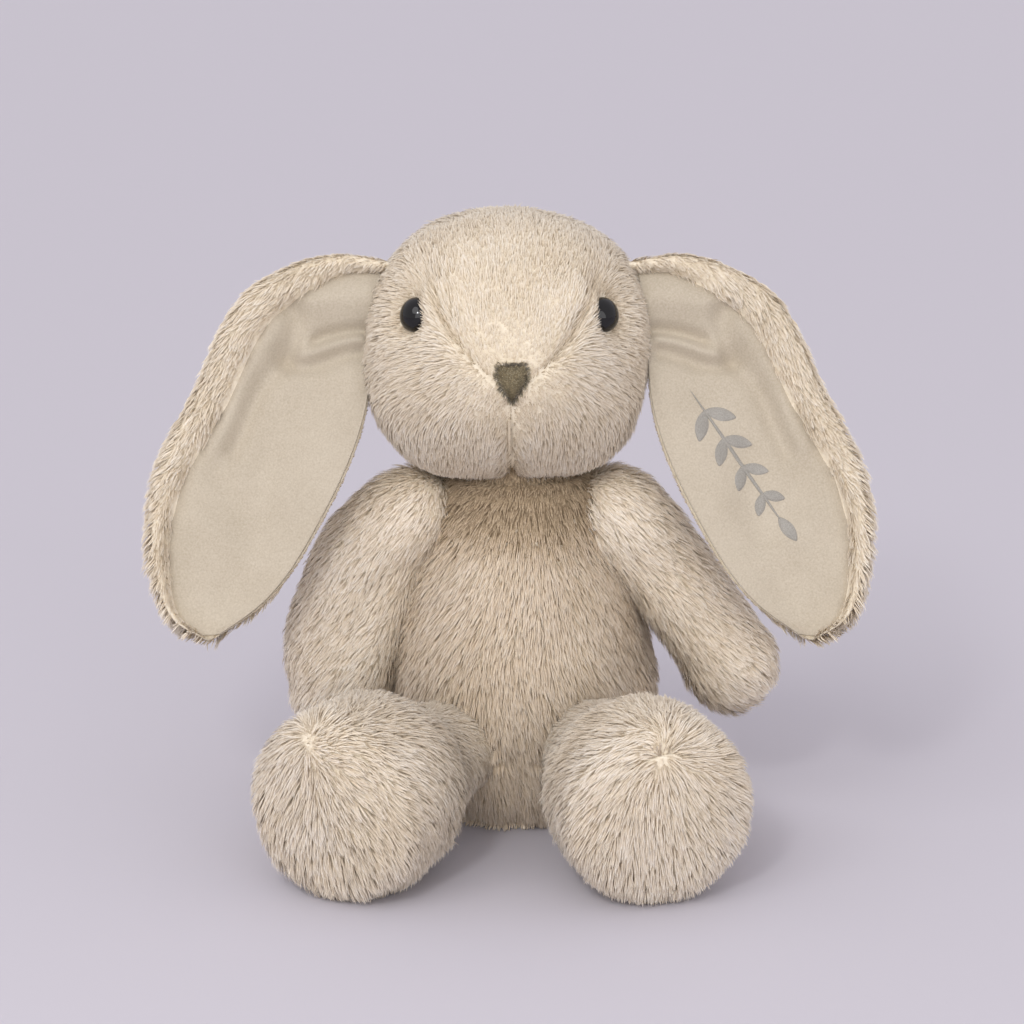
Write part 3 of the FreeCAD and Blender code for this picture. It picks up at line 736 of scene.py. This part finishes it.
# an arm's middle line from its shoulder, as rows of (out, rise, half width)
ARM_LINES = {
    "left": [
        (-17, 13, 4),
        (-14, 11, 10),
        (-6, 5, 16),
        (2, -2, 17.5),
        (14, -16, 16.5),
        (27.5, -34.5, 16),
        (37, -49, 16.8),
        (42, -59, 16.6),
        (46, -69, 10),
        (47.5, -72, 4),
    ],
    "right": [
        (-17, 13, 4),
        (-14, 11, 10),
        (-6, 5, 16.5),
        (3, -2, 18.5),
        (13, -13, 18.5),
        (20, -27, 18),
        (24.3, -45, 18.6),
        (25, -60, 18.2),
        (24.5, -77, 11),
        (24.3, -80.5, 4),
    ],
}
ARM_LEAN = 0.06  # how far forward an arm comes for each millimetre down
ARM_DEPTH = 0.97  # an arm's depth as a share of its width


def make_arm(side, sign):
    root = pivot(f"arm_{side}_raise")
    stations = []
    for out, rise, size in ARM_LINES[side]:
        place = root + [sign * out, ARM_LEAN * rise, rise]
        stations.append((*place, size, size * ARM_DEPTH))
    skin = stuffed(stations, (1, 0, 0), rings=64, around=72)
    p = skin.points
    paw = np.array(stations[-3][:3])
    edge = bell(dot(p - paw, unit(np.array([sign * 0.8, 0, 0.6]))[None])[:, 0] + 3, 1.6)
    skin.push(0.9 * lumps(p, 26, 41) - 0.8 * edge * smooth(paw[1] - p[:, 1], 0, 8))
    skin.enclose(f"arm_{side}_stuffing", 1.2)
    cover = plush_cover(f"arm_{side}_cover", skin)
    aim = unit(np.array([stations[-2][k] - stations[1][k] for k in range(3)]))

    def comb(p, n):
        outward = np.array([sign * 0.3, 0, 0])
        return aim + outward + lumps(p, 30, 13)[:, None] * np.cross(n, aim) * 0.3

    keep = clear_of(skin.points, root + [-sign * 6, 0, 4], 9, 3)
    coats = fur(f"arm_{side}_fur", skin, FUR["limb"], comb, lambda p: np.full(len(p), 7.6), keep=keep)
    ride_together((cover, *coats), f"arm_{side}")
    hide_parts(f"arm_{side}_outer_panel", f"arm_{side}_inner_panel")


SOLE_TURN = {"left": 3.0, "right": 16.0}  # how much further out than its leg each sole looks


SOLE_EDGE = 22.0  # from the foot's middle to the seam round its sole
SOLE_WHORL = 20.0  # how far above the foot's middle the sole's pile parts


def leg_steps(length):
    """Rows of (distance from the hip, half width, half depth): a thigh that widens to a round foot."""
    return [
        (-17, 4, 4),
        (-14, 11, 11),
        (-6, 17.5, 17.5),
        (4, 19, 19),
        (18, 20.5, 20.5),
        (30, 24, 24),
        (42, 29.5, 30.5),
        (54, 32.5, 34),
        (length - 20, 33, 34.5),
        (length - 10, 30, 32),
        (length - 3, 22, 24),
        (length + 1.5, 10, 11),
        (length + 2, 3, 3),
    ]


def make_leg(side, sign):
    hip = pivot(f"leg_{side}_swing")
    sole = middle(f"leg_{side}_sole_panel")
    aim = unit((sole - hip) * [1, 1, 0])
    length = np.linalg.norm((sole - hip)[:2]) + 6
    stations = limb_stations(hip, aim, leg_steps(length))
    skin = stuffed(stations, (-aim[1], aim[0], 0), rings=84, around=100)
    p = skin.points
    along = dot(p - hip, aim[None])[:, 0]
    around = p - hip - along[:, None] * aim
    swing = math.radians(SOLE_TURN[side]) * sign
    c, s = math.cos(swing), math.sin(swing)
    face = np.array([aim[0] * c - aim[1] * s, aim[0] * s + aim[1] * c, 0])
    centre = hip + aim * (length - 30)
    toe = centre + face * (SOLE_EDGE + 4) + UP * SOLE_WHORL
    turn = np.arctan2(around[:, 2], dot(around, unit(np.cross(aim, UP))[None])[:, 0])
    out = dot(p - centre, face[None])[:, 0] - SOLE_EDGE
    puckers = np.cos(turn * 11 + 1.3 * np.sin(turn * 3)) * bell(out, 5) * 0.6
    skin.push(1.4 * lumps(p, 30, 51) - 2.2 * bell(out, 2.0) + puckers)
    skin.enclose(f"leg_{side}_stuffing", 1.2)
    cover = plush_cover(f"leg_{side}_cover", skin)

    def comb(p, n):
        """The sole's pile runs out and down from a whorl at the toe; the sides run back and down."""
        drift = np.stack([lumps(p, 18, 71), lumps(p, 18, 72), lumps(p, 18, 73)], 1) * 7
        away = unit(p - toe + drift)
        whorl = away - UP * 0.45 + np.cross(n, away) * 0.35
        flank = -UP * 0.75 - aim * 0.4 + lumps(p, 26, 11)[:, None] * np.cross(n, UP) * 0.4
        share = smooth(dot(p - centre, face[None]), SOLE_EDGE - 2, SOLE_EDGE + 1)
        return whorl * share + flank * (1 - share)

    keep = smooth(skin.points[:, 2], 1.0, 3.0) * smooth(along, -12, -8)
    coats = fur(
        f"leg_{side}_fur",
        skin,
        FUR["foot"],
        comb,
        lambda p: 4.0 + 4.0 * smooth(dot(p - hip, aim[None])[:, 0], 0, 24),
        keep=keep,
        lift=0.32,
    )
    ride_together((cover, *coats), f"leg_{side}")
    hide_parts(*[f"leg_{side}_{face}_panel" for face in ("outer", "inner", "sole")])


def make_tail():
    low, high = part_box("tail_cover")
    low, high = np.array(low) / MM, np.array(high) / MM
    centre = np.array([(low[0] + high[0]) / 2, high[1] - 15, (low[2] + high[2]) / 2])
    steps = [(-16, 5, 5), (-10, 10, 10), (-2, 13.5, 13.5), (5, 13.2, 13.2), (11, 8.5, 8.5), (13.2, 3, 3)]
    skin = stuffed(limb_stations(centre, np.array([0, 1.0, 0]), steps), (1, 0, 0), rings=36, around=48)
    skin.enclose("tail_stuffing", 1.0)
    cover = plush_cover("tail_puff", skin)
    coats = fur(
        "tail_fur",
        skin,
        FUR["head"],
        lambda p, n: unit(p - centre) * [1, 0.3, 1] - UP * 0.4,
        lambda p: np.full(len(p), 6.5),
        lift=0.5,
        per_mm2=1.6,
    )
    ride_together((cover, *coats), "tail")
    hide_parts("tail_cover")


# ---------------------------------------------------------------- ears

# an ear's two edges as (out, down) from its pivot, each from root to tip
EAR_INNER = [(11, 30), (13, 60), (28, 100), (50, 133), (68, 146)]
EAR_OUTER = [(3, 2), (25, -1), (56, 12), (77, 50), (92, 86), (92, 120), (84, 140), (72, 147)]


def ear_frame(sign):
    """The ear's pivot and its directions outward, down and forward."""
    tilt = np.array(JOINT["ear_left_lift"]["axis"])
    forward = np.array([0.0, tilt[1], tilt[2]])
    square = np.array([0.0, -forward[2], forward[1]])
    down = square if forward[1] < 0 else -square
    side = "left" if sign > 0 else "right"
    return pivot(f"ear_{side}_lift"), np.array([sign, 0.0, 0.0]), down, forward


# folds of an ear as lines in its plane, each with its half width and how far it stands forward
EAR_FOLDS = [
    ((12, 17), (34, 16), 7.0, 4.5),
    ((13, 28.5), (35.5, 30), 2.6, -4.0),
    ((15, 32.5), (40, 35), 2.6, 2.2),
    ((15, 37), (45, 40), 3.2, -3.4),
    ((41, 19), (46, 36), 4.0, -3.2),
    ((46, 36), (63, 74), 4.5, -3.2),
    ((48, 24), (69, 70), 5.0, 2.2),
    ((18, 50), (38, 92), 10.0, 2.6),
    ((70, 82), (62, 96), 4.0, -1.6),
    ((48, 78), (62, 128), 8.0, -2.0),
    ((76, 100), (58, 118), 5.0, 1.4),
]


COVER_GRID = (90, 44)
LINING_GRID = (100, 60)
LINING_SPAN = (0.02, 0.985)  # the share of the ear's length that the lining covers
ROLL_HEIGHT = 4.8  # how far the rolled edge stands forward


def fold(spot, start, end, width, height):
    start, way = np.array(start, float), np.array(end, float) - start
    share = np.clip((spot - start) @ way / (way @ way), 0, 1)
    off = np.linalg.norm(spot - start - share[:, None] * way, axis=1)
    return height * bell(off, width)


class Ear:
    """One ear as a surface over (along, across): along runs root to tip, across inner to outer edge."""

    def __init__(self, sign):
        self.sign = sign
        self.pivot, self.out, self.down, self.forward = ear_frame(sign)

    def flat(self, along, across):
        """Place in the ear's plane, as millimetres outward and down from the pivot."""
        inner = spline([(*p, 0) for p in EAR_INNER], along)[:, :2]
        outer = spline([(*p, 0) for p in EAR_OUTER], along)[:, :2]
        return inner + (outer - inner) * across[:, None]

    def bend(self, along, across):
        """How far forward of its plane the ear hangs: cupped across, with pleats from the root."""
        spot = self.flat(along, across)
        solid = np.concatenate([spot, spot[:, :1] * 0], 1)
        warped = spot + 2.6 * np.stack([lumps(solid, 20, 61), lumps(solid, 17, 62)], 1)
        cup = 3.5 * (2 * across - 1) ** 2 * smooth(along, 0.05, 0.4) - 2.0
        hang = 7.0 * smooth(spot[:, 1], 45, 150) ** 1.5 - 2.5 * bell(spot[:, 1] - 55, 30)
        return cup + hang + sum(fold(warped, *line) for line in EAR_FOLDS)

    def rim(self, along):
        """Share of the width that the rolled edge covers."""
        return 0.13 + 0.07 * smooth(along, 0.0, 0.2) - 0.08 * smooth(along, 0.35, 0.9)

    def place(self, along, across, forward):
        flat = self.flat(along, across)
        lift = self.bend(along, across) + forward
        spot = self.pivot + self.out * flat[:, :1] + self.down * flat[:, 1:]
        return spot + self.forward * lift[:, None]


def grid(rows, columns, along=(0.0, 1.0), across=(0.0, 1.0)):
    """The two coordinates of every point of a grid, row by row."""
    a, b = np.meshgrid(np.linspace(*along, rows), np.linspace(*across, columns), indexing="ij")
    return a.reshape(-1), b.reshape(-1)


def sheet_faces(rows, columns, flip):
    index = np.arange(rows * columns).reshape(rows, columns)
    quads = np.stack([index[:-1, :-1], index[1:, :-1], index[1:, 1:], index[:-1, 1:]], -1).reshape(-1, 4)
    return quads[:, ::-1] if flip else quads


def two_sided(front, back, rows, columns, flip):
    """A closed skin from a front and a back grid joined round their edges."""
    total = rows * columns
    quads = sheet_faces(rows, columns, flip)
    index = np.arange(total).reshape(rows, columns)
    edge = np.concatenate([index[0, :], index[1:, -1], index[-1, -2::-1], index[-2:0:-1, 0]])
    following = np.roll(edge, -1)
    side = np.stack([edge, following, following + total, edge + total], -1)
    side = side if flip else side[:, ::-1]
    return Skin(np.concatenate([front, back]), [quads, quads[:, ::-1] + total, side])


def ear_cover(ear):
    """The furred back of the ear and its edge, rolled forward, with where fur stands on it."""
    along, across = grid(*COVER_GRID)
    rim = ear.rim(along)
    roll = np.clip((across - (1 - rim)) / rim, 0, 1)
    swell = ROLL_HEIGHT * np.sqrt(np.clip(1 - (2 * roll - 1) ** 2, 0, 1)) * (across > 1 - rim)
    tip = smooth(1 - along, 0.0, 0.05)
    front = ear.place(along, across, 0.8 + swell * tip)
    back = ear.place(along, across, -1.6 - 2.2 * np.sqrt(np.clip((1 - across) * across * 4, 0, 1)) * tip)
    keep = np.concatenate([smooth(roll, 0.04, 0.12), np.ones(len(roll))])
    return two_sided(front, back, *COVER_GRID, ear.sign < 0), keep


def ear_lining(ear):
    """The smooth lining inside the rolled edge."""
    along, across = grid(*LINING_GRID, LINING_SPAN)
    crease = 1.5 * bell(1 - across, 0.07)
    across = across * (1 - ear.rim(along) * 0.9) * 0.99 + 0.012
    front = ear.place(along, across, 2.4 - crease)
    back = ear.place(along, across, np.full(len(along), 0.9))
    return two_sided(front, back, *LINING_GRID, ear.sign < 0)


def make_ear(side, sign):
    ear = Ear(sign)
    skin, keep = ear_cover(ear)
    outer = build(f"ear_{side}_cover", skin.points, skin.faces, [BACKING])
    smooth_skin = ear_lining(ear)
    lining = build(f"ear_{side}_velour", smooth_skin.points, smooth_skin.faces, [VELOUR])
    tip_way = unit(ear.down + ear.out * 0.45)

    def comb(p, n):
        """Towards the tip, and outward over the rolled edge."""
        return tip_way + ear.out * 0.35 + lumps(p, 24, 7)[:, None] * np.cross(n, tip_way) * 0.3

    coats = fur(
        f"ear_{side}_fur",
        skin,
        FUR["head"],
        comb,
        lambda p: 4.2 + 2.2 * smooth(np.linalg.norm(p - ear.pivot, axis=1), 15, 45),
        keep=keep,
        lift=0.3,
        per_mm2=1.6,
    )
    pieces = [outer, lining, *coats]
    if sign > 0:
        pieces.append(make_sprig(ear))
    for piece in pieces:
        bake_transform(piece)
    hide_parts(f"ear_{side}_outer")
    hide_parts(f"ear_{side}_lining")


# the sprig's stem on the left ear, as (out, down) from the pivot
SPRIG_START = np.array([27.0, 51.0])
SPRIG_END = np.array([67.0, 110.0])
SPRIG_LIFT = 2.55  # how far forward of the ear's plane the thread lies
STITCH = 0.55  # from one satin stitch to the next
LEAF_PAIRS = (0.14, 0.32, 0.50, 0.68)  # where pairs of leaves sit, as shares of the stem


def make_sprig(ear):
    """A stem with pairs of leaves in satin stitch on the lining, each stitch a raised ridge."""
    points, faces, total = [], [], 0
    length = float(np.linalg.norm(SPRIG_END - SPRIG_START))
    aim = unit(SPRIG_END - SPRIG_START)
    side_way = np.array([-aim[1], aim[0]])

    def stitch_patch(base, way, length, width):
        nonlocal total
        rows, columns = max(12, int(length * 5)), 9
        a, b = grid(rows, columns, across=(-1, 1))
        profile = np.sin(np.pi * np.clip(a, 0.0, 1.0)) ** 0.7
        flat_side = np.array([-way[1], way[0]])
        uv = base + np.outer(a * length, way) + np.outer(b * profile * width / 2, flat_side)
        ridge = 0.10 * np.cos(a * length * 2 * math.pi / STITCH + b * 1.2)
        rise = (0.55 + ridge) * np.sqrt(np.clip(1 - b**2, 0, 1)) * np.clip(profile * 3, 0, 1) - 0.15
        points.append(ear.place(*located(ear, uv[:, 0], uv[:, 1]), SPRIG_LIFT + rise))
        faces.append(sheet_faces(rows, columns, ear.sign > 0) + total)
        total += rows * columns

    stitch_patch(SPRIG_START, aim, length - 6, 1.5)
    for i, share in enumerate(LEAF_PAIRS):
        size = 12.5 - 1.2 * i
        for way in (-1, 1):
            turned = unit(aim * 0.72 + side_way * 0.70 * way)
            stitch_patch(SPRIG_START + aim * length * share, turned, size, 5.2 - 0.35 * i)
    stitch_patch(SPRIG_START + aim * (length - 12), aim, 11.5, 4.8)
    obj = build("ear_sprig", np.concatenate(points), [np.concatenate(faces)], [GREY_THREAD])
    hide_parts("ear_left_embroidery")
    return obj


def located(ear, u, w):
    """(along, across) of places in the ear's plane, found by a few Newton steps."""
    along = np.clip((w - 20) / 130, 0.05, 0.95)
    across = np.full(len(along), 0.4)
    step = 1e-3
    for _ in range(8):
        here = ear.flat(along, across)
        da = (ear.flat(along + step, across) - here) / step
        db = (ear.flat(along, across + step) - here) / step
        miss = np.stack([u, w], 1) - here
        det = da[:, 0] * db[:, 1] - da[:, 1] * db[:, 0]
        along = np.clip(along + (miss[:, 0] * db[:, 1] - miss[:, 1] * db[:, 0]) / det, 0.02, 0.98)
        across = np.clip(across + (da[:, 0] * miss[:, 1] - da[:, 1] * miss[:, 0]) / det, 0.02, 0.98)
    return along, across


# ---------------------------------------------------------------- face trims


NOSE_GRID = (26, 26)
NOSE_DYE = (206, 191, 156)


def make_nose():
    """A shield of short olive pile, flat above and pointed below, with its own cropped strands."""
    a, b = grid(*NOSE_GRID, across=(-1, 1))
    taper = np.clip(1 - np.clip((a - 0.3) / 0.7, 0, 1) ** 1.5, 0.02, 1)
    half = 5.5 * taper * (0.86 + 0.14 * smooth(a, 0, 0.2))
    x, z = b * half, 6.6 - a * 13.6
    dome = np.sqrt(np.clip(1 - b**2, 0, 1)) * np.sqrt(np.clip(np.sin(np.pi * np.clip(a, 0.02, 0.98)), 0, 1))
    depth = -(x**2 + z**2) / 95.0
    front = NOSE_POINT + np.stack([x, -4.6 - 2.6 * dome - depth, z], 1)
    back = NOSE_POINT + np.stack([x * 0.98, -1.5 - depth, z], 1)
    skin = two_sided(front, back, *NOSE_GRID, True)
    obj = build("nose_shield", skin.points, skin.faces, [NOSE])
    pile = []
    for i, tone in enumerate(TONES):
        pile.append(plain(f"nose_strand_{i}", np.clip(np.array(NOSE_DYE) * tone**4, 0, 255)))
    keep = np.concatenate([np.ones(len(a)), np.zeros(len(a))])
    coats = fur(
        "nose_fur",
        skin,
        pile,
        lambda p, n: unit(p - NOSE_POINT - [0, 0, 3.0]),
        lambda p: np.full(len(p), 2.6),
        per_mm2=7.0,
        lift=0.6,
        width=0.3,
        keep=keep,
        every=9,
    )
    ride_together((obj, *coats), "head")
    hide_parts("nose_patch")


# ---------------------------------------------------------------- carried-over nodes and stage

CARRIED = {
    "stuffing": FIBREFILL,
    "bean_fill": PELLETS,
    "pouch": POUCH,
    "label": SATIN,
    "thread": CREAM_THREAD,
    "washer": WASHER,
    "eye": EYE,
}


def dress_cad_nodes():
    """Give each carried-over CAD node the material that a word in its name calls for."""
    for name, obj in frame["nodes"].items():
        for word, material in CARRIED.items():
            if word in name:
                obj.data.materials.clear()
                obj.data.materials.append(material)
                break


FLOOR_TONE = (208, 204, 211)
ROOM_TONE = (224, 221, 227)
SUNS = (  # name, turns in degrees, power, and the angle that the light spreads over
    ("key", (50, 0, -34), 0.65, 40),
    ("front", (86, 0, 8), 1.4, 70),
)
GLINT_PLACE = (-0.25, -1.0, 0.75)  # metres


def make_stage():
    """A pale floor in an even room, lit by two very soft suns."""
    bpy.ops.mesh.primitive_plane_add(size=24, location=(0, 4, 0))
    floor = bpy.context.object
    floor.name = "floor"
    material, shader = new_material("floor_paper", 0.95)
    shader.inputs["Base Color"].default_value = linear(FLOOR_TONE)
    shader.inputs["Specular IOR Level"].default_value = 0.1
    floor.data.materials.append(material)
    world = bpy.data.worlds.new("studio")
    world.use_nodes = True
    background = world.node_tree.nodes["Background"]
    background.inputs["Color"].default_value = linear(ROOM_TONE)
    background.inputs["Strength"].default_value = 0.94
    bpy.context.scene.world = world
    for name, turn, power, spread in SUNS:
        light = bpy.data.lights.new(name, "SUN")
        light.energy = power
        light.angle = math.radians(spread)
        obj = bpy.data.objects.new(name, light)
        obj.rotation_euler = [math.radians(t) for t in turn]
        bpy.context.scene.collection.objects.link(obj)


def make_glint():
    """A small lamp above the camera that puts the bright point in each eye."""
    light = bpy.data.lights.new("glint", "AREA")
    light.size = 0.14
    light.energy = 2.4
    obj = bpy.data.objects.new("glint", light)
    place = Vector(GLINT_PLACE)
    obj.location = place
    obj.rotation_euler = (Vector(HEAD * MM) - place).to_track_quat("-Z", "Y").to_euler()
    bpy.context.scene.collection.objects.link(obj)


CAMERA_DISTANCE = 1168.0
CAMERA_RISE = math.radians(14)
CAMERA_LENS = 104.5


def make_camera():
    target = np.array([1.0, BODY[1], CAD_BOX[1][2] / MM / 2 - 0.5])
    data = bpy.data.cameras.new("camera")
    data.lens = CAMERA_LENS
    data.sensor_width = 36
    camera = bpy.data.objects.new("camera", data)
    away = np.array([0, -math.cos(CAMERA_RISE), math.sin(CAMERA_RISE)]) * CAMERA_DISTANCE
    camera.location = (target + away) * MM
    camera.rotation_euler = (math.pi / 2 - CAMERA_RISE, 0, 0)
    bpy.context.scene.collection.objects.link(camera)
    bpy.context.scene.camera = camera


make_camera()
make_stage()
make_glint()
bpy.context.scene.view_settings.view_transform = "Standard"
make_body()
make_neck()
make_head()
for side, sign in SIDES:
    make_arm(side, sign)
    make_leg(side, sign)
    make_ear(side, sign)
make_tail()
make_nose()
dress_cad_nodes()
